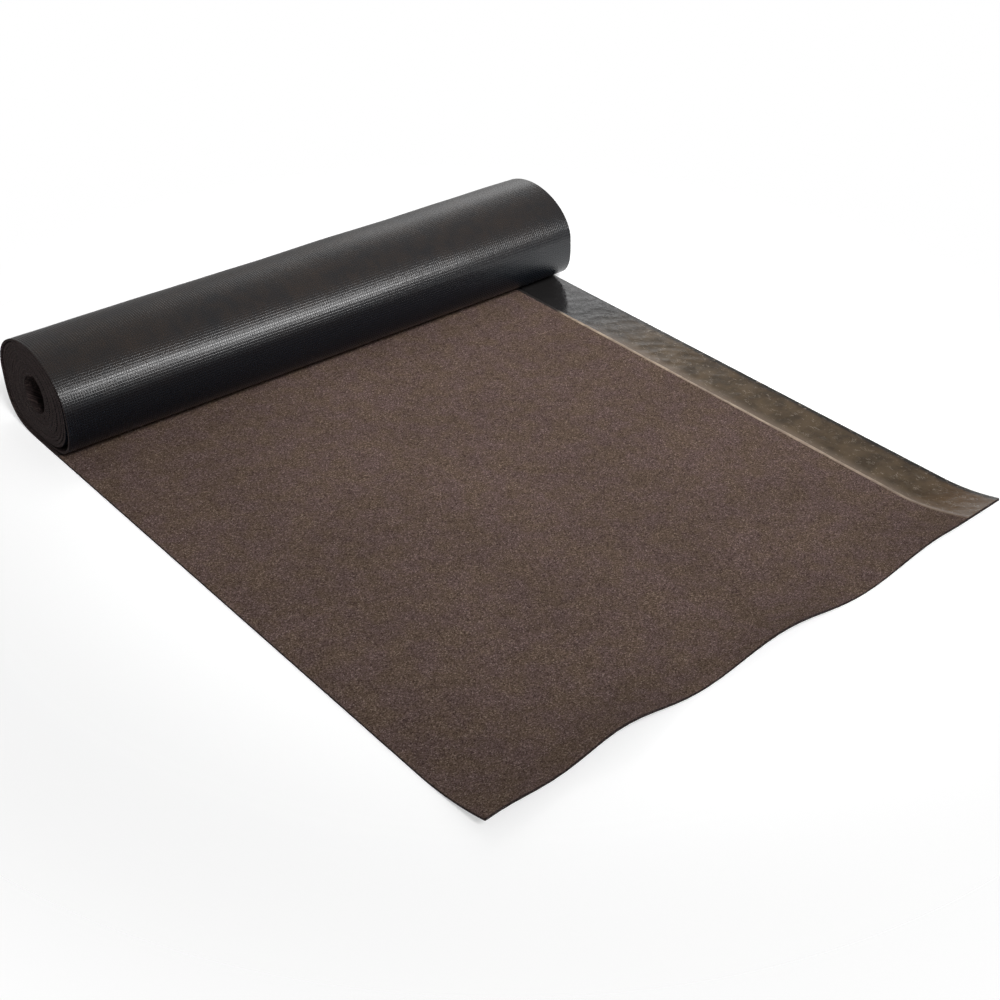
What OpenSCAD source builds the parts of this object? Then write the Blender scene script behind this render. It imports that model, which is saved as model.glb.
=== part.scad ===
// A roll of mineral-surfaced roofing felt, partly run out on the floor.
// Millimetres. +Z is up, the winding axis lies along X and the free end points to -Y.
// The origin is under the middle of the whole felt, at floor level.

/* [Sheet] */
// Width of the felt, along the winding axis
sheet_width = 1000; // [600:10:1100]
// Thickness of the felt with its granules
sheet_thickness = 3.5; // [2.5:0.1:5]
// Felt that lies in front of the winding axis, on the plain side
run_length = 1053; // [500:1:2000]
// Amount that the cut end falls short on the lap side
cut_skew = 22; // [0:1:50]

/* [Wound roll] */
// Diameter of the bore that the winding mandrel left
bore_diameter = 60; // [40:1:90]
// Turns that still lie tight and round about the bore
tight_turns = 2; // [2:1:6]
// Turns around them that have sagged
slack_turns = 11; // [4:1:16]
// Air between two turns where one bears on the other
turn_gap = 0.375; // [0.3:0.025:0.8]
// Extra room that a sagged turn takes at the front and at the back
slack_per_turn = 1.9; // [0.5:0.1:3]
// Extra room that the outermost turn takes at the front and at the back
outer_slack = 3; // [0:0.1:6]
// Height of the widest place of the outer turn above the bore's centre
sag_rise = 6.2; // [0:0.1:12]
// Squareness of the outer turn's lower half, where 2 is round
sag_power = 3.4; // [2:0.1:4]
// Lean of the sagged turns towards the back, as a share of the height
lean = 0.095; // [0:0.005:0.15]
// Depth of the gap that shows between the inner turns on both ends
end_gap_depth = 25; // [5:1:60]

/* [Free end] */
// Length of the run that lifts off the floor at the free end
lifted_length = 120; // [80:5:200]
// Height that the plain corner curls up to
plain_corner_lift = 20; // [0:1:40]
// Height that the wave swings about at the lap corner
lap_corner_lift = 6; // [0:1:30]
// Swing of the wave along the cut end
wave_swing = 10; // [0:0.5:15]
// Crests between the plain corner and the last crest
wave_crests = 3; // [1:1:5]
// Place of the last crest across the width, as a share of it
last_crest_place = 0.85; // [0.6:0.01:1]
// Crowding of the crests towards the plain side, where 1 is even
crest_crowding = 0.81; // [0.6:0.01:1.2]
// Share of a wave that follows the last crest before the end runs straight
wave_tail = 0.1; // [0:0.01:0.4]
// Share of the width over which the wave grows from the plain corner
wave_fade = 0.2; // [0.05:0.01:0.5]

/* [Lap strip] */
// Width of the covered lap strip at the roll
lap_width_roll = 92; // [50:1:150]
// Width of the covered lap strip at the free end
lap_width_end = 79; // [50:1:150]
// Thickness of the release film on the lap strip
film_thickness = 0.2; // [0.1:0.05:0.25]

/* [Hidden] */
turn_steps = 48;
bore_steps = 96;
tangent_step = 0.002;
end_rows = 7;
end_overlap = 5;
plain_columns = 30;
lap_columns = 3;
tuck_start = 0.75;
tuck_end = 1.25;
loose_turns = 1.4;
gap_overlap = 0.25;
bore_wall_turns = 1.5;
cut_margin = 5;
half_sheet = sheet_thickness / 2;
pitch = sheet_thickness + turn_gap;
core_radius = bore_diameter / 2 + tight_turns * pitch;
roll_height = 2 * (core_radius + slack_turns * pitch);
axis_height = roll_height / 2;
last_gap = slack_turns + tight_turns - 1 - bore_wall_turns;
felt_color = [0.25, 0.22, 0.21];
film_color = [0.42, 0.38, 0.34];

// Share of the sag that is left at winding place w, counted in turns from the outside.
function slackness(w) = max(0, 1 - w / slack_turns);

function inner_turns(w) = max(0, w - slack_turns);

function loop_height(w) = axis_height + sag_rise * slackness(w);

// Share of the outermost turn's extra room, which ends where the sheet tucks in under the roll.
function looseness(w) = min(1, max(0, (tuck_end - w) / (tuck_end - tuck_start)));

function half_width(w) =
    core_radius - half_sheet - inner_turns(w) * pitch
    + slack_turns * slackness(w) * (pitch + slack_per_turn)
    + outer_slack * looseness(w);

// Heights of the sheet's middle where a turn passes under the bore and over it.
function under_height(w) = half_sheet + w * pitch;
function over_height(w) = roll_height - half_sheet - (w - 0.5) * pitch;

function signed_power(value, power) = sign(value) * pow(abs(value), power);

// Middle of the sheet at winding place w, as [Y, Z] from the winding axis at floor level.
function sheet_middle(w) =
    let (
        angle = 360 * w,
        lower = cos(angle) > 0,
        power = lower ? 2 / (2 + (sag_power - 2) * slackness(w)) : 1,
        middle = loop_height(w),
        reach = lower ? middle - under_height(w) : over_height(w) - middle,
        rise = -reach * signed_power(cos(angle), power),
        out = half_width(w) * signed_power(sin(angle), power)
    )
    [out + lean * slackness(w) * rise, middle + rise];

// Point beside the sheet's middle; a positive offset is towards the outside of the roll.
function sheet_side(w, offset) =
    let (
        along = sheet_middle(w + tangent_step) - sheet_middle(w - tangent_step),
        size = norm(along)
    )
    sheet_middle(w) + offset * [along[1], -along[0]] / size;

function side_points(from, to, offset) =
    let (steps = round(abs(to - from) * turn_steps))
    [for (i = [0:steps]) sheet_side(from + (to - from) * i / steps, offset)];

outer_turn = side_points(0, 1, half_sheet);
back_reach = max([for (point = outer_turn) point[0]]);
axis_place = (run_length - back_reach) / 2;
flat_end = axis_place - run_length + lifted_length;

// Rise of the cut end's underside, by the share of the width from the plain side.
function crest_count(share) =
    min(wave_crests + wave_tail, wave_crests * pow(share / last_crest_place, crest_crowding));
function end_lift(share) =
    max(0, plain_corner_lift + (lap_corner_lift - plain_corner_lift) * share
        + wave_swing * min(1, share / wave_fade) * cos(360 * crest_count(share)));

columns = plain_columns + lap_columns;
plain_width = sheet_width - lap_width_end;
function column_place(column) =
    column <= plain_columns
        ? plain_width * column / plain_columns
        : plain_width + lap_width_end * (column - plain_columns) / lap_columns;

// Point of the lifted end, raised from its underside; row 0 is back on the flat run.
function end_point(column, row, raise) =
    let (
        place = column_place(column),
        share = place / sheet_width,
        part = max(0, row - 1) / (end_rows - 1),
        back = row == 0 ? end_overlap : 0
    )
    [
        place - sheet_width / 2,
        flat_end + back - part * (lifted_length - cut_skew * share),
        raise + end_lift(share) * part * part
    ];

// Solid between two raised copies of the lifted end, from one column to another.
module lifted_end(first, last, low, high) {
    width = last - first;
    row_size = width + 1;
    layer = row_size * (end_rows + 1);
    points = [
        for (raise = [low, high])
            for (row = [0:end_rows])
                for (column = [first:last]) end_point(column, row, raise)
    ];
    cells = [for (row = [0:end_rows - 1]) for (i = [0:width - 1]) row * row_size + i];
    side_rows = [for (row = [0:end_rows - 1]) row * row_size];
    last_row = end_rows * row_size;
    polyhedron(
        points,
        concat(
            [for (a = cells) [a, a + row_size, a + 1]],
            [for (a = cells) [a + 1, a + row_size, a + row_size + 1]],
            [for (a = cells) [layer + a, layer + a + 1, layer + a + row_size]],
            [for (a = cells) [layer + a + 1, layer + a + row_size + 1, layer + a + row_size]],
            [for (a = side_rows) [a, layer + a, layer + a + row_size, a + row_size]],
            [for (a = side_rows)
                [a + width, a + width + row_size, layer + a + width + row_size, layer + a + width]],
            [for (i = [0:width - 1]) [i, i + 1, layer + i + 1, layer + i]],
            [for (i = [last_row:last_row + width - 1]) [i, layer + i, layer + i + 1, i + 1]]
        )
    );
}

// Extrudes a [Y, Z] section along X, from one place to another.
module along_axis(from, to) {
    translate([from, 0, 0]) rotate([90, 0, 90]) linear_extrude(to - from) children();
}

// Section of the flat run, the loose outer turn and the body of inner turns.
module wound_section() {
    start = flat_end - axis_place;
    polygon(concat(
        [[start, 0]],
        side_points(0, loose_turns + 1, half_sheet),
        side_points(loose_turns, 0, -half_sheet),
        [[start, sheet_thickness]]
    ));
}

// Spiral gap between the inner turns.
module turn_gap_section() {
    start = loose_turns - gap_overlap;
    polygon(concat(
        side_points(start, last_gap, -half_sheet),
        side_points(last_gap + 1, start + 1, half_sheet)
    ));
}

module roofing_felt() {
    color(felt_color) union() {
        translate([0, axis_place, 0]) difference() {
            along_axis(-sheet_width / 2, sheet_width / 2) wound_section();
            translate([-sheet_width / 2 - cut_margin, 0, axis_height]) rotate([0, 90, 0])
                cylinder(d = bore_diameter, h = sheet_width + 2 * cut_margin, $fn = bore_steps);
            along_axis(-sheet_width / 2 - cut_margin, end_gap_depth - sheet_width / 2)
                turn_gap_section();
            along_axis(sheet_width / 2 - end_gap_depth, sheet_width / 2 + cut_margin)
                turn_gap_section();
        }
        lifted_end(0, columns, 0, sheet_thickness);
    }
}

module release_film() {
    edge = sheet_width / 2;
    color(film_color) union() {
        translate([0, 0, sheet_thickness]) linear_extrude(film_thickness) polygon([
            [edge - lap_width_end, flat_end],
            [edge, flat_end],
            [edge, axis_place],
            [edge - lap_width_roll, axis_place]
        ]);
        lifted_end(plain_columns, columns, sheet_thickness, sheet_thickness + film_thickness);
    }
}

roofing_felt();
release_film();
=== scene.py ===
"""Looks of a roll of mineral-surfaced roofing felt, partly run out on the floor.

The felt and its release film follow the same winding and the same lifted end as the CAD,
so that both models share one frame. Sizes are in metres.
"""

import logging
import math
from collections.abc import Sequence
from dataclasses import dataclass, field
from enum import Enum, IntEnum

import bpy
import numpy as np
from mathutils import Matrix, Vector, noise


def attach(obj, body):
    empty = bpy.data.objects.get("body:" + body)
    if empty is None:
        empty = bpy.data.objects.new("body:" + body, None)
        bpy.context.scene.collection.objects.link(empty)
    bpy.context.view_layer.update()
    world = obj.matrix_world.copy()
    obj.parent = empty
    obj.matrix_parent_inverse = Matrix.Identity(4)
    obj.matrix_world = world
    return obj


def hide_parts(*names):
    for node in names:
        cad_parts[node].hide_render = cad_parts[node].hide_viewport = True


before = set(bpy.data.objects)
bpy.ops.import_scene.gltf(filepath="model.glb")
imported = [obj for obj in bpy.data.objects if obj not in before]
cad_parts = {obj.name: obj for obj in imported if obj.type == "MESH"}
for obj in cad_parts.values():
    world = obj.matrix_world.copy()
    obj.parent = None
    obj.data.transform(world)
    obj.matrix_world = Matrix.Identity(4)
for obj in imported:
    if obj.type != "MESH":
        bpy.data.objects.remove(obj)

LOG = logging.getLogger("roofing_felt")
SHEET_UV = "sheet"
WHITE = (1.0, 1.0, 1.0, 1.0)
HALF_TURN = 0.5
# Power of a superellipse that is a true ellipse.
ROUND_POWER = 2.0
# Vertices compared with a path at one time, which limits the memory.
ROW_BATCH = 4000

Colour = tuple[float, float, float]
Point = tuple[float, float, float]
Stops = tuple[tuple[float, Colour], ...]
# Scale and gain of each layer of a drift.
Drifts = tuple[tuple[float, float], ...]
Array = np.ndarray
Piece = bpy.types.Object
Node = bpy.types.Node
Socket = bpy.types.NodeSocket
Sockets = bpy.types.bpy_prop_collection
# What a node's input takes: an output, a number or a tuple of numbers.
Feed = Socket | float | tuple[float, ...]


class Face(IntEnum):
    """Material places of the felt's faces."""

    GRANULES = 0
    UNDERSIDE = 1
    CUT = 2


class FilmFace(IntEnum):
    """Material places of the release film's faces."""

    FILM = 0
    EDGE_LINE = 1


class MixPlace(IntEnum):
    """Places of the colour sockets on a mix node."""

    SHARE = 0
    FIRST = 6
    SECOND = 7
    RESULT = 2


class Effect(Enum):
    """Names of the node groups that several finishes share."""

    SPECKLE = "speckle"
    DRIFT = "drift"


@dataclass(frozen=True)
class Fade:
    """Smooth change from one result to another while a value goes from low to high."""

    low: float
    high: float
    start: Feed = 0.0
    end: Feed = 1.0


@dataclass(frozen=True)
class Cloud:
    """Field of smooth noise, with its cells in a metre or a turn and a seed that shifts it."""

    across: float
    along: float
    seed: float

    def at(self, x: float, y: float) -> float:
        """Reads the field at a place, as a value between about -1 and 1."""
        shift = Vector((self.seed, 2 * self.seed, 3 * self.seed))
        return noise.noise(Vector((x * self.across, y * self.along, 0.0)) + shift)


@dataclass(frozen=True)
class SheetShape:
    """Course of the felt's middle, from the free end over the floor and round to the bore."""

    width: float = 1.0
    thickness: float = 0.0035
    run_length: float = 1.053
    cut_skew: float = 0.022
    cut_sway: float = 0.003
    bore_radius: float = 0.030
    tight_turns: int = 2
    slack_turns: int = 11
    turn_gap: float = 0.000375
    slack_per_turn: float = 0.0019
    outer_slack: float = 0.003
    sag_rise: float = 0.0062
    sag_power: float = 3.4
    inner_power: float = 2.6
    lean: float = 0.095
    tuck_start: float = 0.75
    tuck_end: float = 1.25
    axis_place: float = 0.475088
    lifted_length: float = 0.120
    plain_corner_lift: float = 0.020
    lap_corner_lift: float = 0.006
    wave_swing: float = 0.010
    wave_crests: float = 3.0
    last_crest_place: float = 0.85
    crest_crowding: float = 0.81
    wave_tail: float = 0.1
    wave_fade: float = 0.2

    @property
    def pitch(self) -> float:
        """Distance from one turn to the next where they bear on each other."""
        return self.thickness + self.turn_gap

    @property
    def flat_end(self) -> float:
        """Y at which the free end starts to lift."""
        return self.axis_place - self.run_length + self.lifted_length

    @property
    def last_turn(self) -> float:
        """Winding place of the end of the felt beside the bore."""
        return self.slack_turns + self.tight_turns - HALF_TURN

    def share(self, x: Array) -> Array:
        """Turns X into shares of the width, from the plain side."""
        return x / self.width + 0.5

    def wound(self, turns: Array) -> Array:
        """Middle of the felt on the roll.

        Args:
            turns: Winding places, in turns from the outside.
        Returns:
            Array of Y and Z in the shared frame.
        """
        core = self.bore_radius + self.tight_turns * self.pitch
        height = 2 * (core + self.slack_turns * self.pitch)
        slack = np.maximum(0.0, 1.0 - turns / self.slack_turns)
        inner = np.maximum(0.0, turns - self.slack_turns)
        loose = np.clip((self.tuck_end - turns) / (self.tuck_end - self.tuck_start), 0.0, 1.0)
        half_width = (
            core
            - self.thickness / 2
            - inner * self.pitch
            + self.slack_turns * slack * (self.pitch + self.slack_per_turn)
            + self.outer_slack * loose
        )
        middle = height / 2 + self.sag_rise * slack
        under = self.thickness / 2 + turns * self.pitch
        over = height - self.thickness / 2 - (turns - HALF_TURN) * self.pitch
        cosine = np.cos(2 * np.pi * turns)
        sine = np.sin(2 * np.pi * turns)
        lower = cosine > 0
        # Inside the outer turn the lower front is rounder, which leaves a dark wedge there.
        square = np.where((turns > 1.0) & (sine < 0.0), self.inner_power, self.sag_power)
        power = np.where(lower, ROUND_POWER / (ROUND_POWER + (square - ROUND_POWER) * slack), 1.0)
        reach = np.where(lower, middle - under, over - middle)
        rise = -reach * np.sign(cosine) * np.abs(cosine) ** power
        out = half_width * np.sign(sine) * np.abs(sine) ** power
        return np.stack([self.axis_place + out + self.lean * slack * rise, middle + rise], axis=1)

    def lift(self, share: Array) -> Array:
        """Rise of the cut end.

        Args:
            share: Shares of the width, from the plain side.
        Returns:
            Heights above the floor.
        """
        along = np.maximum(share, 0.0) / self.last_crest_place
        crest = np.minimum(
            self.wave_crests + self.wave_tail, self.wave_crests * along**self.crest_crowding
        )
        slope = self.plain_corner_lift + (self.lap_corner_lift - self.plain_corner_lift) * share
        swing = self.wave_swing * np.minimum(1.0, share / self.wave_fade)
        return np.maximum(0.0, slope + swing * np.cos(2 * np.pi * crest))

    def end_place(self, share: Array, part: Array) -> tuple[Array, Array]:
        """Place on the lifted end.

        Args:
            share: Shares of the width, from the plain side.
            part: Shares of the lifted length, from the flat run.
        Returns:
            Y of each place and its rise.
        """
        sway = self.cut_sway * np.sin(2 * np.pi * (share - 0.5))
        reach = self.flat_end - part * (self.lifted_length - self.cut_skew * share + sway)
        return reach, self.lift(share) * part**2


class NodeSheet:
    """Adds nodes to one shader tree and links them."""

    def __init__(self, tree: bpy.types.NodeTree) -> None:
        """Takes the tree of a material, a world or a node group."""
        self.tree = tree

    def add(
        self, kind: str, sockets: dict[str | int, Feed] | None = None, **settings: object
    ) -> Node:
        """Adds one node.

        Args:
            kind: Node type.
            sockets: Values or outputs for the inputs, by name or place.
            **settings: Properties of the node.
        Returns:
            The new node.
        """
        node = self.tree.nodes.new(kind)
        for name, value in settings.items():
            setattr(node, name, value)
        for key, value in (sockets or {}).items():
            self.feed(node.inputs[key], value)
        return node

    def feed(self, socket: Socket, value: Feed) -> None:
        """Links or sets one input.

        Args:
            socket: Input to fill.
            value: What fills it.
        """
        if isinstance(value, Socket):
            self.tree.links.new(value, socket)
        else:
            socket.default_value = value

    def math(self, operation: str, *values: Feed, clamp: bool = False) -> Socket:
        """Adds a math node and gives its result, which a clamp holds between 0 and 1."""
        sockets = dict(enumerate(values))
        return self.add("ShaderNodeMath", sockets, operation=operation, use_clamp=clamp).outputs[0]

    def fade(self, value: Feed, fade: Fade) -> Socket:
        """Maps a value smoothly.

        Args:
            value: What is mapped.
            fade: Its range and the results at both ends.
        Returns:
            The mapped value.
        """
        sockets = {"From Min": fade.low, "From Max": fade.high, "To Min": fade.start, "To Max": fade.end}
        node = self.add("ShaderNodeMapRange", sockets, interpolation_type="SMOOTHSTEP")
        self.feed(node.inputs["Value"], value)
        return node.outputs[0]

    def within(self, value: Feed, first: Fade, second: Fade) -> Socket:
        """Multiplies two fades of one value."""
        return self.math("MULTIPLY", self.fade(value, first), self.fade(value, second))

    def mix(self, share: Feed, first: Feed, second: Feed, blend: str = "MIX") -> Socket:
        """Mixes two colours.

        Args:
            share: Share of the second colour.
            first: First colour.
            second: Second colour.
            blend: How they blend.
        Returns:
            The mixed colour.
        """
        node = self.add("ShaderNodeMix", data_type="RGBA", blend_type=blend)
        for place, value in ((MixPlace.SHARE, share), (MixPlace.FIRST, first), (MixPlace.SECOND, second)):
            self.feed(node.inputs[place], (*value, 1.0) if isinstance(value, tuple) else value)
        return node.outputs[MixPlace.RESULT]

    def ramp(self, value: Feed, stops: Stops) -> Socket:
        """Adds a colour ramp.

        Args:
            value: What picks the colour.
            stops: Places and colours.
        Returns:
            The colour.
        """
        node = self.add("ShaderNodeValToRGB", {"Fac": value})
        marks = node.color_ramp.elements
        while len(marks) < len(stops):
            marks.new(1.0)
        for mark, (place, colour) in zip(marks, stops):
            mark.position = place
            mark.color = (*colour, 1.0)
        return node.outputs["Color"]

    def sheet_place(self) -> Socket:
        """Gives metres across the sheet and along it, as a vector."""
        return self.add("ShaderNodeUVMap", uv_map=SHEET_UV).outputs["UV"]

    def coordinate(self, kind: str) -> Socket:
        """Gives one output of a texture coordinate node, by its name."""
        return self.add("ShaderNodeTexCoord").outputs[kind]

    def split(self, vector: Socket) -> Sockets:
        """Gives the parts of a vector, under the names X, Y and Z."""
        return self.add("ShaderNodeSeparateXYZ", {"Vector": vector}).outputs

    def seen(self, mirrored: Feed = 1.0) -> Socket:
        """Marks the rays that show the surroundings.

        Args:
            mirrored: Result for a ray of gloss or of glass.
        Returns:
            1 for a ray of the camera, and 0 for one that only lights.
        """
        rays = self.add("ShaderNodeLightPath").outputs
        sent_on = self.math("MAXIMUM", rays["Is Glossy Ray"], rays["Is Transmission Ray"])
        return self.math("MAXIMUM", rays["Is Camera Ray"], self.math("MULTIPLY", sent_on, mirrored))

    def effect(self, effect: Effect, place: Socket, scale: float) -> Sockets:
        """Adds a shared effect at a place, with so many cells in a metre, and gives its outputs."""
        group = bpy.data.node_groups[effect.value]
        return self.add("ShaderNodeGroup", {"Vector": place, "Scale": scale}, node_tree=group).outputs

    def drift(self, place: Socket, scale: float) -> Socket:
        """Gives a slow change between 0 and 1, with so many cells in a metre."""
        return self.effect(Effect.DRIFT, place, scale)["Value"]

    def drifts(self, place: Socket, least: float, layers: Drifts) -> Socket:
        """Adds up slow changes of several sizes.

        Args:
            place: Place on the surface.
            least: Least result.
            layers: Scale and gain of each change.
        Returns:
            The sum.
        """
        total = least
        for scale, gain in layers:
            total = self.math("MULTIPLY_ADD", self.drift(place, scale), gain, total)
        return total

    def bump(self, shader: Node, height: Socket, strength: float, distance: float) -> None:
        """Raises the surface of a shader.

        Args:
            shader: Shader whose normal is fed.
            height: Height over the surface, between 0 and about 1.
            strength: Share of the relief that shows.
            distance: Metres of relief at height 1.
        """
        sockets = {"Height": height, "Strength": strength, "Distance": distance}
        self.feed(shader.inputs["Normal"], self.add("ShaderNodeBump", sockets).outputs["Normal"])


@dataclass(frozen=True)
class Effects:
    """Node groups that several finishes share."""

    grain_step: float = 0.5
    drift_detail: float = 4.0
    drift_roughness: float = 0.6
    drift_range: Fade = Fade(0.3, 0.7)

    def build(self) -> None:
        """Makes the groups."""
        self.speckle()
        self.drift()

    def group(
        self, effect: Effect, outputs: tuple[str, ...]
    ) -> tuple[NodeSheet, dict[str, Socket], Sockets]:
        """Starts one group, which takes a place and a scale.

        Args:
            effect: Which group.
            outputs: Names of the number outputs.
        Returns:
            Its node sheet, the place and the scale that it takes, and the sockets of its results.
        """
        tree = bpy.data.node_groups.new(effect.value, "ShaderNodeTree")
        for name, kind in (("Vector", "NodeSocketVector"), ("Scale", "NodeSocketFloat")):
            tree.interface.new_socket(name=name, in_out="INPUT", socket_type=kind)
        for name in outputs:
            tree.interface.new_socket(name=name, in_out="OUTPUT", socket_type="NodeSocketFloat")
        sheet = NodeSheet(tree)
        taken = sheet.add("NodeGroupInput").outputs
        place = {name: taken[name] for name in ("Vector", "Scale")}
        return sheet, place, sheet.add("NodeGroupOutput").inputs

    def speckle(self) -> None:
        """Makes grains of one size, each with its own number and a domed height."""
        sheet, place, results = self.group(Effect.SPECKLE, ("Grain", "Height"))
        cells = sheet.add("ShaderNodeTexVoronoi", place, voronoi_dimensions="2D").outputs
        parts = sheet.add("ShaderNodeSeparateColor", {"Color": cells["Color"]}).outputs
        dome = sheet.math("SUBTRACT", 1.0, cells["Distance"], clamp=True)
        raised = sheet.math("MULTIPLY_ADD", parts["Green"], self.grain_step, dome)
        sheet.feed(results["Grain"], parts["Red"])
        sheet.feed(results["Height"], raised)

    def drift(self) -> None:
        """Makes a slow change over the surface, between 0 and 1."""
        sheet, place, results = self.group(Effect.DRIFT, ("Value",))
        sockets = {**place, "Detail": self.drift_detail, "Roughness": self.drift_roughness}
        clouds = sheet.add("ShaderNodeTexNoise", sockets, noise_dimensions="2D").outputs[0]
        sheet.feed(results["Value"], sheet.fade(clouds, self.drift_range))


@dataclass(frozen=True)
class Finish:
    """One finish, made as a material with one Principled shader."""

    name: str
    roughness: float
    specular: float

    def build(self) -> bpy.types.Material:
        """Makes the finish.

        Returns:
            Its material.
        """
        material = bpy.data.materials.new(self.name)
        material.use_nodes = True
        shader = material.node_tree.nodes["Principled BSDF"]
        shader.inputs["Roughness"].default_value = self.roughness
        shader.inputs["Specular IOR Level"].default_value = self.specular
        self.paint(NodeSheet(material.node_tree), shader)
        return material

    def paint(self, sheet: NodeSheet, shader: Node) -> None:
        """Feeds the shader of the material. Each finish has its own way."""
        raise NotImplementedError


@dataclass(frozen=True)
class GranuleFinish(Finish):
    """Brown crushed mineral pressed into the felt's weather side."""

    name: str = "felt_granules"
    roughness: float = 0.95
    specular: float = 0.05
    grain: float = 0.0013
    relief: float = 0.0005
    bump_strength: float = 0.7
    least_tone: float = 0.81
    tone_drifts: Drifts = ((5.0, 0.12), (45.0, 0.10), (230.0, 0.20))
    hue_scale: float = 24.0
    olive: Colour = (1.0, 1.007, 0.93)
    mauve: Colour = (1.0, 0.986, 1.085)
    stops: Stops = (
        (0.0, (0.045, 0.029, 0.0230)),
        (0.30, (0.086, 0.058, 0.0465)),
        (0.70, (0.130, 0.088, 0.0715)),
        (0.92, (0.174, 0.121, 0.0990)),
        (1.0, (0.275, 0.205, 0.1680)),
    )

    def paint(self, sheet: NodeSheet, shader: Node) -> None:
        """Colours each grain, lets tone and hue drift, and raises the grains.

        Args:
            sheet: Node sheet of the material.
            shader: Its shader.
        """
        place = sheet.sheet_place()
        grains = sheet.effect(Effect.SPECKLE, place, 1.0 / self.grain)
        tone = sheet.drifts(place, self.least_tone, self.tone_drifts)
        shade = sheet.add("ShaderNodeCombineColor", {"Red": tone, "Green": tone, "Blue": tone})
        colour = sheet.ramp(grains["Grain"], self.stops)
        colour = sheet.mix(1.0, colour, shade.outputs["Color"], "MULTIPLY")
        hue = sheet.mix(sheet.drift(place, self.hue_scale), self.olive, self.mauve)
        sheet.feed(shader.inputs["Base Color"], sheet.mix(1.0, colour, hue, "MULTIPLY"))
        sheet.bump(shader, grains["Height"], self.bump_strength, self.relief)


@dataclass(frozen=True)
class UndersideFinish(Finish):
    """Black bitumen under a thin film, embossed with a fine square mesh and dusty on top of the roll.

    The foot and the top of a rib are shares of the mesh's pitch.
    """

    name: str = "felt_underside"
    roughness: float = 0.21
    specular: float = 0.5
    rib_roughness: float = 0.33
    mesh_pitch: float = 0.0042
    rib_foot: float = 0.25
    rib_top: float = 0.46
    relief: float = 0.00015
    bump_strength: float = 0.8
    fine_scale: float = 260.0
    fine_share: float = 0.2
    bitumen: Colour = (0.0018, 0.0034, 0.0060)
    dust: Colour = (0.0210, 0.0125, 0.0080)
    dust_height: Fade = Fade(0.070, 0.150)
    least_dust: float = 0.3
    dust_drifts: Drifts = ((7.0, 0.35), (38.0, 0.35))
    rib_wipe: float = 0.4

    def paint(self, sheet: NodeSheet, shader: Node) -> None:
        """Draws the mesh, dusts the bitumen between its ribs, and raises the ribs.

        Args:
            sheet: Node sheet of the material.
            shader: Its shader.
        """
        place = sheet.sheet_place()
        parts = sheet.split(place)
        rib = Fade(self.rib_foot * self.mesh_pitch, self.rib_top * self.mesh_pitch)
        saws = [sheet.math("PINGPONG", parts[axis], self.mesh_pitch / 2) for axis in ("X", "Y")]
        mesh = sheet.math("MAXIMUM", *(sheet.fade(saw, rib) for saw in saws))
        height = sheet.split(sheet.coordinate("Object"))["Z"]
        dusty = sheet.drifts(place, self.least_dust, self.dust_drifts)
        dusty = sheet.math("MULTIPLY", dusty, sheet.fade(height, self.dust_height))
        dusty = sheet.math("MULTIPLY", dusty, sheet.math("MULTIPLY_ADD", mesh, -self.rib_wipe, 1.0))
        sheet.feed(shader.inputs["Base Color"], sheet.mix(dusty, self.bitumen, self.dust))
        rough = sheet.math("MULTIPLY_ADD", mesh, self.rib_roughness - self.roughness, self.roughness)
        sheet.feed(shader.inputs["Roughness"], rough)
        raised = sheet.math("MULTIPLY_ADD", sheet.drift(place, self.fine_scale), self.fine_share, mesh)
        sheet.bump(shader, raised, self.bump_strength, self.relief)


@dataclass(frozen=True)
class CutFinish(Finish):
    """Cut edge of the felt: dark bitumen with grains pulled over it. Inside the roll it also covers the
    granule side as painted shade.
    """

    name: str = "felt_cut_and_inside_shade"
    roughness: float = 0.85
    specular: float = 0.05
    grain: float = 0.0009
    relief: float = 0.0004
    bump_strength: float = 0.6
    turn: Point = (0.6, 0.9, 0.3)
    stops: Stops = (
        (0.0, (0.0152, 0.0110, 0.0109)),
        (0.7, (0.0286, 0.0205, 0.0200)),
        (1.0, (0.0630, 0.0457, 0.0424)),
    )

    def paint(self, sheet: NodeSheet, shader: Node) -> None:
        """Colours and raises the grains, in a turned frame so that no face sees them stretched.

        Args:
            sheet: Node sheet of the material.
            shader: Its shader.
        """
        sockets = {"Vector": sheet.coordinate("Object"), "Rotation": self.turn}
        turned = sheet.add("ShaderNodeMapping", sockets).outputs["Vector"]
        grains = sheet.effect(Effect.SPECKLE, turned, 1.0 / self.grain)
        sheet.feed(shader.inputs["Base Color"], sheet.ramp(grains["Grain"], self.stops))
        sheet.bump(shader, grains["Height"], self.bump_strength, self.relief)


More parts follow.
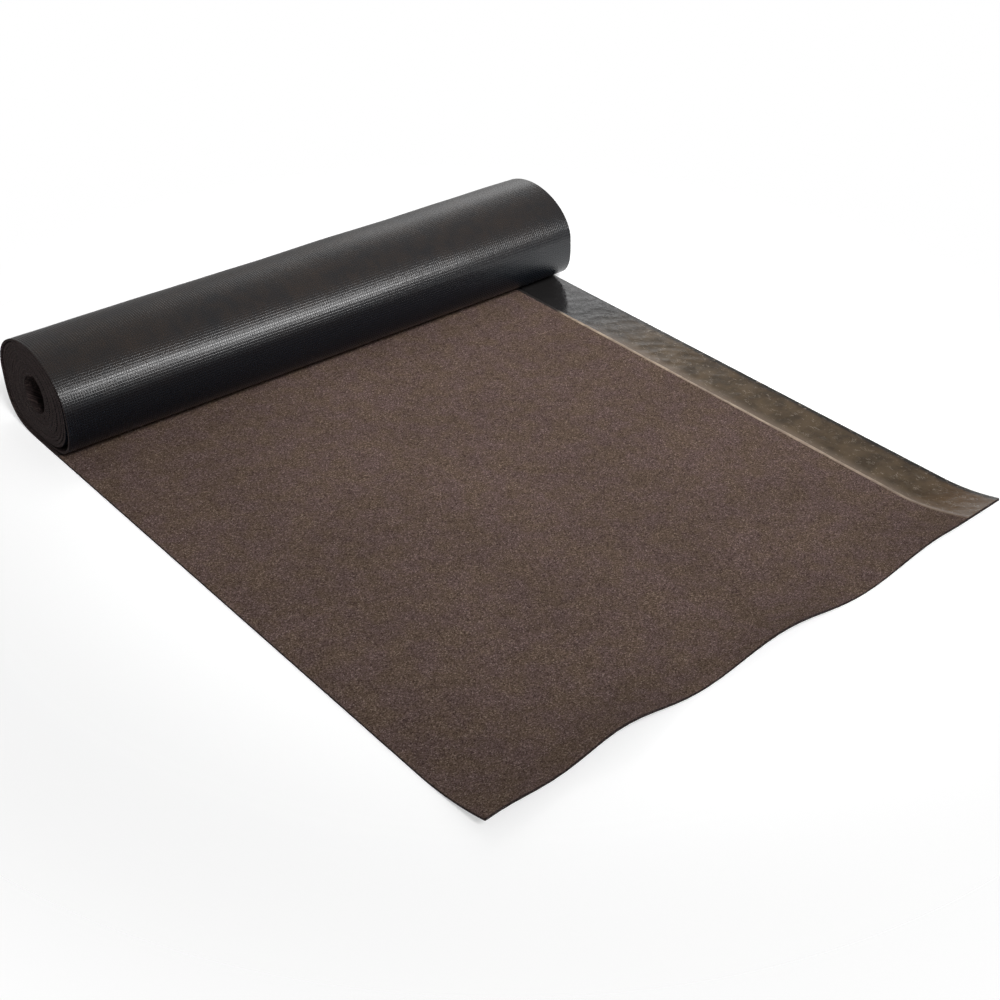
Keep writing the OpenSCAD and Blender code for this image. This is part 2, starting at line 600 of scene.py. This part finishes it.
@dataclass(frozen=True)
class FilmFinish(Finish):
    """Glossy release film over the olive-brown lap strip: golden at the cut, and painted near-black
    before the roll as painted shade and dark reflection of the roll.

    Fades across the strip run in metres from the felt's middle, and those along it from the cut.
    """

    name: str = "release_film"
    roughness: float = 0.09
    specular: float = 0.28
    clear: Colour = (0.094, 0.063, 0.034)
    stuck: Colour = (0.049, 0.0325, 0.0175)
    stuck_scale: float = 30.0
    golden: Colour = (0.110, 0.055, 0.0175)
    golden_end: Fade = Fade(0.03, 0.14, 0.75, 0.0)
    margin: Colour = (0.014, 0.0115, 0.0095)
    margin_side: Fade = Fade(0.486, 0.497)
    # Painted highlight: lighter film just beside the pale line, where the turned-over edge catches the
    # light.
    painted_edge_highlight: Colour = (0.190, 0.142, 0.105)
    painted_edge_highlight_side: Fade = Fade(0.412, 0.434, 0.7, 0.0)
    # Painted shade: near-black film before the roll stands in for the roll's shade and its dark
    # reflection.
    painted_roll_shade: Colour = (0.017, 0.016, 0.016)
    painted_roll_shade_end: Fade = Fade(0.66, 0.86)
    fold_stretch: Point = (1.0, 0.45, 1.0)
    fold_turn: Point = (0.0, 0.0, 0.5)
    fold_scale: float = 130.0
    fold_detail: float = 3.0
    fold_distortion: float = 1.2
    fold_middle: float = 0.5
    fold_flank: Fade = Fade(0.0, 0.12, 1.0, 0.0)
    crease: Colour = (0.300, 0.245, 0.190)
    crease_flank: Fade = Fade(0.0, 0.03, 0.8, 0.0)
    crease_scale: float = 75.0
    crease_patch: Fade = Fade(0.55, 0.9)
    relief: float = 0.0004
    bump_strength: float = 0.2

    def paint(self, sheet: NodeSheet, shader: Node) -> None:
        """Colours the strip, paints shade near the roll and a highlight beside the pale line, draws pale
        creases on some folds, and raises the folds.

        Args:
            sheet: Node sheet of the material.
            shader: Its shader.
        """
        place = sheet.sheet_place()
        parts = sheet.split(place)
        colour = sheet.mix(sheet.drift(place, self.stuck_scale), self.clear, self.stuck)
        colour = sheet.mix(sheet.fade(parts["Y"], self.golden_end), colour, self.golden)
        colour = sheet.mix(sheet.fade(parts["X"], self.margin_side), colour, self.margin)
        colour = sheet.mix(sheet.fade(parts["X"], self.painted_edge_highlight_side), colour, self.painted_edge_highlight)
        # Share of painted shade near the roll; the creases are left out there.
        roll_shade_share = sheet.fade(parts["Y"], self.painted_roll_shade_end)
        colour = sheet.mix(roll_shade_share, colour, self.painted_roll_shade)
        stretched = sheet.add(
            "ShaderNodeMapping",
            {"Vector": place, "Scale": self.fold_stretch, "Rotation": self.fold_turn},
        )
        folds = sheet.add(
            "ShaderNodeTexNoise",
            {
                "Vector": stretched.outputs["Vector"],
                "Scale": self.fold_scale,
                "Detail": self.fold_detail,
                "Distortion": self.fold_distortion,
            },
            noise_dimensions="2D",
        )
        fold = sheet.math("ABSOLUTE", sheet.math("SUBTRACT", folds.outputs[0], self.fold_middle))
        sparse = sheet.fade(sheet.drift(place, self.crease_scale), self.crease_patch)
        drawn = sheet.math("MULTIPLY", sheet.fade(fold, self.crease_flank), sparse)
        drawn = sheet.math("MULTIPLY", drawn, sheet.math("SUBTRACT", 1.0, roll_shade_share))
        sheet.feed(shader.inputs["Base Color"], sheet.mix(drawn, colour, self.crease))
        sheet.bump(shader, sheet.fade(fold, self.fold_flank), self.bump_strength, self.relief)


@dataclass(frozen=True)
class LineFinish(Finish):
    """Pale turned-over edge of the release film, worn at the cut and painted near-black before the roll
    as painted shade.
    """

    name: str = "film_edge_line"
    roughness: float = 0.55
    specular: float = 0.4
    bright: Colour = (0.47, 0.37, 0.275)
    dull: Colour = (0.21, 0.155, 0.115)
    dull_drifts: Drifts = ((60.0, 0.5), (9.0, 0.5))
    worn: Colour = (0.150, 0.105, 0.075)
    worn_end: Fade = Fade(0.05, 0.20, 0.8, 0.0)
    # Painted shade: the line goes near-black where the roll's shade and dark reflection fall on it.
    painted_line_shade: Colour = (0.022, 0.019, 0.018)
    painted_line_shade_end: Fade = Fade(0.855, 0.885)

    def paint(self, sheet: NodeSheet, shader: Node) -> None:
        """Colours the line along its length.

        Args:
            sheet: Node sheet of the material.
            shader: Its shader.
        """
        place = sheet.sheet_place()
        along = sheet.split(place)["Y"]
        colour = sheet.mix(sheet.drifts(place, 0.0, self.dull_drifts), self.bright, self.dull)
        colour = sheet.mix(sheet.fade(along, self.worn_end), colour, self.worn)
        colour = sheet.mix(sheet.fade(along, self.painted_line_shade_end), colour, self.painted_line_shade)
        sheet.feed(shader.inputs["Base Color"], colour)


@dataclass(frozen=True)
class FloorFinish(Finish):
    """Pale floor that fades out round the object."""

    name: str = "floor_pale"
    roughness: float = 1.0
    specular: float = 0.0
    pale: Colour = (0.98, 0.98, 0.98)
    glow: float = 0.33
    rim: Fade = Fade(0.55, 1.2, 1.0, 0.0)

    def paint(self, sheet: NodeSheet, shader: Node) -> None:
        """Lets the floor glow a little where it is seen, and fade with the distance.

        Args:
            sheet: Node sheet of the material.
            shader: Its shader.
        """
        shader.inputs["Base Color"].default_value = (*self.pale, 1.0)
        shader.inputs["Emission Color"].default_value = WHITE
        glow = sheet.math("MULTIPLY", sheet.seen(), self.glow)
        sheet.feed(shader.inputs["Emission Strength"], glow)
        place = sheet.coordinate("Object")
        reach = sheet.add("ShaderNodeVectorMath", {0: place}, operation="LENGTH").outputs["Value"]
        sheet.feed(shader.inputs["Alpha"], sheet.fade(reach, self.rim))


def sweep_edge(name: str, width: float, columns: int, path: Array) -> Piece:
    """Sweeps an edge that lies along X over a path, one extrusion a step.

    Args:
        name: Name of the new piece.
        width: Length of the edge.
        columns: Parts that the edge is divided into.
        path: Y and Z of each row.
    Returns:
        The open strip, with its faces' normals to the left of the path.
    """
    bpy.ops.object.select_all(action="DESELECT")
    bpy.ops.mesh.primitive_plane_add(size=width)
    strip = bpy.context.object
    strip.name = name
    strip.data.name = name
    bpy.ops.object.mode_set(mode="EDIT")
    bpy.ops.mesh.select_mode(type="VERT")
    bpy.ops.mesh.select_all(action="DESELECT")
    bpy.ops.object.mode_set(mode="OBJECT")
    for vertex in strip.data.vertices:
        vertex.select = vertex.co.y > 0
    bpy.ops.object.mode_set(mode="EDIT")
    bpy.ops.mesh.delete(type="VERT")
    bpy.ops.mesh.select_all(action="SELECT")
    bpy.ops.mesh.subdivide(number_cuts=columns - 1)
    bpy.ops.transform.translate(value=(0.0, float(path[0, 0]) + width / 2, float(path[0, 1])))
    for step in np.diff(path, axis=0):
        bpy.ops.mesh.extrude_region_move(
            TRANSFORM_OT_translate={"value": (0.0, float(step[0]), float(step[1]))}
        )
    bpy.ops.object.mode_set(mode="OBJECT")
    for layer in list(strip.data.uv_layers):
        strip.data.uv_layers.remove(layer)
    return strip


def read_points(piece: Piece) -> Array:
    """Reads a mesh's vertices.

    Args:
        piece: Mesh object.
    Returns:
        Array of X, Y and Z.
    """
    points = np.empty(len(piece.data.vertices) * 3, dtype=np.float32)
    piece.data.vertices.foreach_get("co", points)
    return points.reshape(-1, 3).astype(float)


def write_points(piece: Piece, points: Array) -> None:
    """Moves a mesh's vertices to new X, Y and Z."""
    piece.data.vertices.foreach_set("co", points.astype(np.float32).ravel())
    piece.data.update()


def nearest_rows(points: Array, path: Array) -> Array:
    """Finds the row of the path that each vertex was swept to.

    Args:
        points: Vertices.
        path: Y and Z of each row.
    Returns:
        Row numbers.
    """
    rows = np.empty(len(points), dtype=int)
    for start in range(0, len(points), ROW_BATCH):
        part = points[start : start + ROW_BATCH, None, 1:]
        rows[start : start + ROW_BATCH] = np.argmin(((part - path[None]) ** 2).sum(axis=2), axis=1)
    return rows


def lay_uv(piece: Piece, across: Array, along: Array) -> None:
    """Gives a strip its place on the flat sheet as UV, in metres.

    Args:
        piece: Mesh object.
        across: Metres across the sheet for each vertex.
        along: Metres along the sheet for each vertex.
    """
    layer = piece.data.uv_layers.new(name=SHEET_UV)
    corner = np.empty(len(piece.data.loops), dtype=np.int32)
    piece.data.loops.foreach_get("vertex_index", corner)
    flat = np.stack([across[corner], along[corner]], axis=1)
    layer.data.foreach_set("uv", flat.astype(np.float32).ravel())


def thicken(
    piece: Piece, thickness: Array, offset: float, under: int = 0, rim: int = 0
) -> None:
    """Gives an open strip its thickness.

    Args:
        piece: Mesh object.
        thickness: Distance between both faces at each vertex.
        offset: Where the strip lies in it, from -1 to 1.
        under: Step to the material of the other face.
        rim: Step to the material of the rim.
    """
    most = float(thickness.max())
    shares = piece.vertex_groups.new(name="thickness")
    for vertex, share in enumerate(thickness / most):
        shares.add([vertex], float(share), "REPLACE")
    wall = piece.modifiers.new("wall", "SOLIDIFY")
    wall.thickness = most
    wall.vertex_group = shares.name
    wall.offset = offset
    wall.use_even_offset = True
    wall.material_offset = under
    wall.material_offset_rim = rim
    bpy.context.view_layer.objects.active = piece
    bpy.ops.object.modifier_apply(modifier=wall.name)
    piece.vertex_groups.clear()


def smooth(piece: Piece, angle: float) -> None:
    """Shades a piece smooth except at its sharp edges.

    Args:
        piece: Mesh object.
        angle: Least angle of a sharp edge, in degrees.
    """
    bpy.ops.object.select_all(action="DESELECT")
    piece.select_set(True)
    bpy.context.view_layer.objects.active = piece
    bpy.ops.object.shade_smooth_by_angle(angle=math.radians(angle))


@dataclass
class FeltSheet:
    """The felt itself, as one sheet from its free end to the bore.

    The course is Y and Z of each row of vertices, turns its winding place, and rows the row of
    each vertex. Winding places, also those in names with from or to, are turns from the outside
    or, below 0, metres in front of the axis.
    """

    shape: SheetShape
    columns: int = 48
    end_rows: int = 20
    run_rows: int = 60
    outer_turns: float = 1.5
    outer_steps: int = 96
    inner_steps: int = 48
    sharp_angle: float = 40.0
    # Painted shade on the granule side starts here, just before the axis under the roll, and runs to the
    # bore.
    painted_shade_from: float = -0.07
    dent_depth: float = 0.0009
    dent_from: float = 0.1
    dent_to: float = 0.85
    dent_fade: float = 0.1
    broad_dents: Cloud = Cloud(7.0, 5.0, 1.7)
    small_dents: Cloud = Cloud(19.0, 9.0, 5.1)
    small_dent_share: float = 0.4
    run_off: float = 0.0032
    run_off_from: float = 0.1
    run_off_turns: float = 0.4
    end_scatter: float = 0.0009
    scatter_reach: float = 0.05
    scatter: Cloud = Cloud(1.7, 3.0, 9.3)
    swell_share: float = 0.62
    swell_from: float = 1.0
    swell_fade: float = 0.2
    swell_depth: float = 0.05
    course: Array = field(init=False)
    turns: Array = field(init=False)
    rows: Array = field(init=False)
    piece: Piece = field(init=False)

    def path(self) -> tuple[Array, Array]:
        """Rows of the sheet.

        Returns:
            Y and Z of each row, and its winding place, which is below 0 in front of the roll.
        """
        shape = self.shape
        free_end = shape.flat_end - shape.lifted_length
        end = np.linspace(free_end, shape.flat_end, self.end_rows + 1)
        run = np.linspace(shape.flat_end, shape.axis_place, self.run_rows + 1)
        flat_places = np.concatenate([end[:-1], run[:-1]])
        flat = np.stack([flat_places, np.full_like(flat_places, shape.thickness / 2)], axis=1)
        outer = np.arange(int(self.outer_turns * self.outer_steps)) / self.outer_steps
        steps = round((shape.last_turn - self.outer_turns) * self.inner_steps)
        inner = self.outer_turns + np.arange(steps + 1) / self.inner_steps
        turns = np.concatenate([outer, inner])
        places = np.concatenate([flat_places - shape.axis_place, turns])
        return np.concatenate([flat, shape.wound(turns)]), places

    def build(self) -> None:
        """Sweeps the sheet, shapes its free end and the roll, and gives it its thickness."""
        self.course, self.turns = self.path()
        self.piece = sweep_edge("felt_sheet", self.shape.width, self.columns, self.course)
        points = read_points(self.piece)
        self.rows = nearest_rows(points, self.course)
        steps = np.linalg.norm(np.diff(self.course, axis=0), axis=1)
        along = np.concatenate([[0.0], np.cumsum(steps)])
        lay_uv(self.piece, points[:, 0], along[self.rows])
        points = self.settle_roll(self.lift_end(points))
        write_points(self.piece, points)
        for finish in (GranuleFinish(), UndersideFinish(), CutFinish()):
            self.piece.data.materials.append(finish.build())
        thicken(self.piece, self.swell(points), 0.0, Face.UNDERSIDE, Face.CUT)
        self.paint_inside_shade()
        smooth(self.piece, self.sharp_angle)

    def paint_inside_shade(self) -> None:
        """Paints shade on the granule side inside the roll with the cut's dark finish, as the bore and
        the gaps between turns lie in shade.
        """
        start = self.columns * int(np.searchsorted(self.turns, self.painted_shade_from))
        granule_faces = self.columns * (len(self.turns) - 1)
        for face in list(self.piece.data.polygons)[start:granule_faces]:
            face.material_index = Face.CUT

    def swell(self, points: Array) -> Array:
        """Thickness of the felt, which is squeezed wider at the ends of the inner turns.

        Args:
            points: Vertices of the sheet.
        Returns:
            Thickness at each vertex.
        """
        shape = self.shape
        wound = np.maximum(self.turns, 0.0)
        air = np.linalg.norm(shape.wound(wound + 1.0) - shape.wound(wound), axis=1) - shape.thickness
        inner = np.clip((self.turns - self.swell_from) / self.swell_fade, 0.0, 1.0)
        from_end = shape.width / 2 - np.abs(points[:, 0])
        near_end = np.clip(1.0 - from_end / self.swell_depth, 0.0, 1.0)
        return shape.thickness + self.swell_share * (air * inner)[self.rows] * near_end

    def lift_end(self, points: Array) -> Array:
        """Lifts the free end in waves and cuts it askew.

        Args:
            points: Vertices of the sheet.
        Returns:
            The moved vertices.
        """
        moved = points.copy()
        end = self.rows < self.end_rows
        part = 1.0 - self.rows[end] / self.end_rows
        reach, rise = self.shape.end_place(self.shape.share(points[end, 0]), part)
        moved[end, 1] = reach
        moved[end, 2] += rise
        return moved

    def settle_roll(self, points: Array) -> Array:
        """Dents the outer turn, lets the roll run off to one side and the turns' ends stand unevenly.

        Args:
            points: Vertices of the sheet.
        Returns:
            The moved vertices.
        """
        tangent = np.gradient(self.course, axis=0)
        tangent /= np.linalg.norm(tangent, axis=1)[:, None]
        outward = np.stack([tangent[:, 1], -tangent[:, 0]], axis=1)
        scatter_from = self.shape.width / 2 - self.scatter_reach
        moved = points.copy()
        places = self.turns[self.rows]
        for i in np.flatnonzero(places > 0.0):
            turn = places[i]
            x = points[i, 0]
            fade = min(self.dent_fade, turn - self.dent_from, self.dent_to - turn) / self.dent_fade
            if fade > 0.0:
                dent = self.broad_dents.at(x, turn) + self.small_dent_share * self.small_dents.at(x, turn)
                moved[i, 1:] += outward[self.rows[i]] * self.dent_depth * fade * dent
            run_off = min(1.0, max(0.0, (turn - self.run_off_from) / self.run_off_turns))
            moved[i, 0] += self.run_off * run_off
            side = max(0.0, (abs(x) - scatter_from) / self.scatter_reach)
            moved[i, 0] += self.end_scatter * side * self.scatter.at(turn, math.copysign(1.0, x))
        return moved

    def dress(self) -> None:
        """Puts the sheet in the frame in place of its CAD node."""
        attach(self.piece, "root")
        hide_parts("roofing_felt")


@dataclass
class ReleaseFilm:
    """Film on the lap strip, with its pale inner edge.

    The run is Y of each vertex before it was laid, and column its column. The fades at both edges
    are in columns, and the places along the film are Y.
    """

    shape: SheetShape
    thickness: float = 0.0002
    clearance: float = 0.00005
    width_at_roll: float = 0.0945
    width_at_lift: float = 0.0915
    width_at_cut: float = 0.080
    columns: int = 24
    run_rows: int = 230
    end_rows: int = 30
    sharp_angle: float = 60.0
    line_columns: int = 2
    line_width: float = 0.0052
    line_rise: float = 0.0009
    line_sway: float = 0.0018
    sway: Cloud = Cloud(14.0, 0.0, 4.1)
    wrinkle: float = 0.0004
    folds: Cloud = Cloud(26.0, 38.0, 2.3)
    fold_skew: float = 0.6
    fold_sharpness: float = 2.6
    fold_share: float = 0.75
    swells: Cloud = Cloud(12.0, 16.0, 7.7)
    swell_share: float = 0.45
    inner_fade: float = 4.0
    outer_fade: float = 3.0
    nip_place: float = 0.37
    nip_fade: float = 0.05
    drawn_from: float = 0.05
    drawn_to: float = 0.30
    drawn_share: float = 0.5
    run: Array = field(init=False)
    column: Array = field(init=False)
    piece: Piece = field(init=False)

    def build(self) -> None:
        """Sweeps the strip, lays it on the felt, wrinkles it and gives it its thickness."""
        shape = self.shape
        flat = np.linspace(shape.axis_place, shape.flat_end, self.run_rows + 1)
        end = np.linspace(shape.flat_end, shape.flat_end - shape.lifted_length, self.end_rows + 1)
        places = np.concatenate([flat, end[1:]])[::-1]
        path = np.stack([places, np.zeros_like(places)], axis=1)
        self.piece = sweep_edge("film_strip", shape.width, self.columns, path)
        points = read_points(self.piece)
        self.run = points[:, 1]
        self.column = np.rint(shape.share(points[:, 0]) * self.columns).astype(int)
        place = self.laid()
        lay_uv(self.piece, place[:, 0], path[nearest_rows(points, path), 0] - places[0])
        write_points(self.piece, place)
        for finish in (FilmFinish(), LineFinish()):
            self.piece.data.materials.append(finish.build())
        self.mark_line()
        thicken(self.piece, np.full(len(place), self.thickness), 1.0)
        smooth(self.piece, self.sharp_angle)

    def width(self) -> Array:
        """Width of the film at each vertex.

        Returns:
            Metres from the inner edge to the felt's edge.
        """
        shape = self.shape
        knots = (shape.flat_end - shape.lifted_length, shape.flat_end, shape.axis_place)
        return np.interp(self.run, knots, (self.width_at_cut, self.width_at_lift, self.width_at_roll))

    def across(self) -> Array:
        """Distance from the film's inner edge; the first columns make the pale line.

        Returns:
            Metres from the inner edge.
        """
        sway = np.array([self.sway.at(place, 0.0) for place in self.run])
        line = self.line_width + self.line_sway * sway
        rest = np.maximum(0, self.column - self.line_columns) / (self.columns - self.line_columns)
        on_line = self.column < self.line_columns
        beyond = line + rest * (self.width() - line)
        return np.where(on_line, self.column * line / self.line_columns, beyond)

    def laid(self) -> Array:
        """Lays the film on the felt.

        Returns:
            Vertices of the film's underside.
        """
        shape = self.shape
        x = shape.width / 2 - self.width() + self.across()
        share = shape.share(x)
        part = np.clip((shape.flat_end - self.run) / shape.lifted_length, 0.0, 1.0)
        reach, rise = shape.end_place(share, part)
        y = np.where(part > 0.0, reach, self.run)
        # The end rises with the square of the part.
        slope = 2.0 * shape.lift(share) * part / shape.lifted_length
        normal = np.stack([np.zeros_like(slope), slope, np.ones_like(slope)], axis=1)
        normal /= np.linalg.norm(normal, axis=1)[:, None]
        middle = np.stack([x, y, shape.thickness / 2 + rise], axis=1)
        lifted = shape.thickness / 2 + self.clearance + self.relief(x)
        return middle + normal * lifted[:, None]

    def relief(self, x: Array) -> Array:
        """Height of the wrinkles and of the pale line over the felt.

        Args:
            x: X of each vertex.
        Returns:
            Heights.
        """
        heights = np.zeros_like(x)
        drawn = np.interp(self.run, (self.drawn_from, self.drawn_to), (1.0, self.drawn_share))
        for i, (place, column) in enumerate(zip(self.run, self.column)):
            nip = max(0.0, min(1.0, (self.nip_place - place) / self.nip_fade))
            skewed = place + self.fold_skew * x[i]
            fold = 1.0 - abs(self.folds.at(x[i], skewed)) * self.fold_sharpness
            swell = 0.5 + 0.5 * self.swells.at(x[i], place)
            edge = min(1.0, column / self.inner_fade, (self.columns - column) / self.outer_fade)
            folded = self.wrinkle * (self.fold_share * max(0.0, fold) + self.swell_share * swell)
            heights[i] = nip * edge * drawn[i] * folded
        ridge = self.column == self.line_columns // 2
        return heights + np.where(ridge, self.line_rise, 0.0)

    def mark_line(self) -> None:
        """Gives the columns along the inner edge their pale finish."""
        for face in self.piece.data.polygons:
            last = max(self.column[corner] for corner in face.vertices)
            face.material_index = FilmFace.EDGE_LINE if last <= self.line_columns else FilmFace.FILM

    def dress(self) -> None:
        """Puts the film in the frame in place of its CAD node."""
        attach(self.piece, "root")
        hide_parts("release_film")


@dataclass(frozen=True)
class Softbox:
    """One flat lamp. It may add only shine, or only plain light."""

    name: str
    place: Point
    aim: Point
    size: tuple[float, float]
    power: float
    roll: float = 0.0
    spread: float = 180.0
    shine_only: bool = False
    plain_only: bool = False

    def build(self) -> None:
        """Adds the lamp, turned to what it lights."""
        bpy.ops.object.light_add(type="AREA", location=self.place)
        lamp = bpy.context.object
        lamp.name = self.name
        lamp.data.shape = "RECTANGLE"
        lamp.data.size, lamp.data.size_y = self.size
        lamp.data.energy = self.power
        lamp.data.spread = math.radians(self.spread)
        turn = (Vector(self.aim) - Vector(self.place)).to_track_quat("-Z", "Y").to_matrix()
        turn = turn @ Matrix.Rotation(math.radians(self.roll), 3, "Z")
        lamp.rotation_euler = turn.to_euler()
        lamp.visible_camera = False
        lamp.visible_diffuse = not self.shine_only
        lamp.visible_glossy = not self.plain_only


@dataclass(frozen=True)
class PhotoCamera:
    """Camera at the photo's angle."""

    azimuth: float = -41.4186
    elevation: float = 34.0585
    roll: float = 1.5776
    distance: float = 2.3198
    target: Point = (-0.0557, -0.0849, 0.0)
    focal_share: float = 1.591086
    sensor: float = 36.0

    def build(self) -> None:
        """Adds the camera and makes it the scene's."""
        turn, rise, roll = (math.radians(a) for a in (self.azimuth, self.elevation, self.roll))
        back = Vector(
            (math.sin(turn) * math.cos(rise), -math.cos(turn) * math.cos(rise), math.sin(rise))
        )
        right = (-back).cross(Vector((0.0, 0.0, 1.0))).normalized()
        above = right.cross(-back)
        side = right * math.cos(roll) + above * math.sin(roll)
        top = above * math.cos(roll) - right * math.sin(roll)
        bpy.ops.object.camera_add()
        camera = bpy.context.object
        camera.name = "photo_camera"
        camera.data.lens = self.focal_share * self.sensor
        camera.data.sensor_width = self.sensor
        place = Matrix.Translation(Vector(self.target) + back * self.distance)
        camera.matrix_world = place @ Matrix((side, top, back)).transposed().to_4x4()
        bpy.context.scene.camera = camera


@dataclass(frozen=True)
class Surroundings:
    """World that is white to the camera, with a bright band low at the back right.

    Mirrored rays see it dimmer behind the roll and overhead. Every fade runs along one part of
    the direction looked in: X to the right, Y to the back or Z up.
    """

    band: float = 2.7
    zenith: float = 0.22
    band_top: Fade = Fade(0.435, 0.52, 1.0, 0.0)
    band_foot: Fade = Fade(0.0, 0.40, 0.15, 1.0)
    band_left: Fade = Fade(0.46, 0.64, 0.05, 1.0)
    band_right: Fade = Fade(0.66, 0.73, 1.0, 0.1)
    band_back: Fade = Fade(0.54, 0.66, 0.15, 1.0)
    below: Fade = Fade(-0.1, 0.2, 0.9, 0.27)
    below_top: float = -0.02
    horizon: float = 0.0
    behind: Fade = Fade(0.60, 0.70, 0.30, 1.0)
    behind_top: float = 0.2
    ceiling_left: Fade = Fade(0.3, 0.62, 0.36, 0.66)
    ceiling_right: Fade = Fade(0.60, 0.68, 1.0, 0.5)
    ceiling_foot: float = 0.42

    def build(self) -> None:
        """Makes the world and gives it to the scene."""
        world = bpy.data.worlds.new("studio")
        bpy.context.scene.world = world
        world.use_nodes = True
        sheet = NodeSheet(world.node_tree)
        parts = sheet.split(sheet.coordinate("Generated"))
        low = sheet.within(parts["Z"], self.band_top, self.band_foot)
        side = sheet.within(parts["X"], self.band_left, self.band_right)
        side = sheet.math("MULTIPLY", side, sheet.fade(parts["Y"], self.band_back))
        light = sheet.math("MULTIPLY", low, side)
        light = sheet.math("MULTIPLY_ADD", light, self.band - self.zenith, self.zenith)
        below = sheet.fade(parts["X"], self.below)
        under = sheet.fade(parts["Z"], Fade(self.below_top, self.horizon, below, 0.0))
        ceiling = sheet.within(parts["X"], self.ceiling_left, self.ceiling_right)
        behind = sheet.fade(parts["X"], self.behind)
        mirrored = sheet.fade(parts["Z"], Fade(self.behind_top, self.ceiling_foot, behind, ceiling))
        strength = sheet.math("MAXIMUM", sheet.math("MAXIMUM", light, under), sheet.seen(mirrored))
        background = world.node_tree.nodes["Background"]
        sheet.feed(background.inputs["Color"], WHITE)
        sheet.feed(background.inputs["Strength"], strength)


@dataclass(frozen=True)
class Studio:
    """Pale floor, white surroundings, lamps and camera."""

    floor_size: float = 8.0
    floor_drop: float = 0.0004
    softboxes: tuple[Softbox, ...] = (
        Softbox("key", (-0.8, -3.0, 3.6), (0.50, 0.55, 0.0), size=(1.6, 1.6), power=14.2, spread=34.0),
        Softbox(
            "strip", (0.93, -1.37, 1.36), (0.0, 0.42, 0.1), size=(1.35, 0.36), power=29.0,
            roll=-53.0, shine_only=True,
        ),
        Softbox("top", (0.3, 1.25, 1.9), (0.3, 0.1, 0.0), size=(1.1, 0.6), power=4.5, plain_only=True),
    )

    def build(self) -> None:
        """Adds the floor, the world, the lamps and the camera."""
        self.lay_floor()
        Surroundings().build()
        for softbox in self.softboxes:
            softbox.build()
        PhotoCamera().build()
        bpy.context.scene.view_settings.view_transform = "Standard"

    def lay_floor(self) -> None:
        """Adds the floor, just under the object."""
        bpy.ops.object.select_all(action="DESELECT")
        bpy.ops.mesh.primitive_plane_add(size=self.floor_size, location=(0.0, 0.0, -self.floor_drop))
        floor = bpy.context.object
        floor.name = "floor"
        floor.data.materials.append(FloorFinish().build())


def main() -> None:
    """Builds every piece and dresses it."""
    logging.basicConfig(level=logging.INFO, format="%(message)s")
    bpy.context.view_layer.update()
    shape = SheetShape()
    Effects().build()
    for part in (FeltSheet(shape), ReleaseFilm(shape)):
        part.build()
        part.dress()
        LOG.info(
            "%s: %d faces, %s m",
            part.piece.name,
            len(part.piece.data.polygons),
            [round(side, 4) for side in part.piece.dimensions],
        )
    Studio().build()


if __name__ == "__main__":
    main()
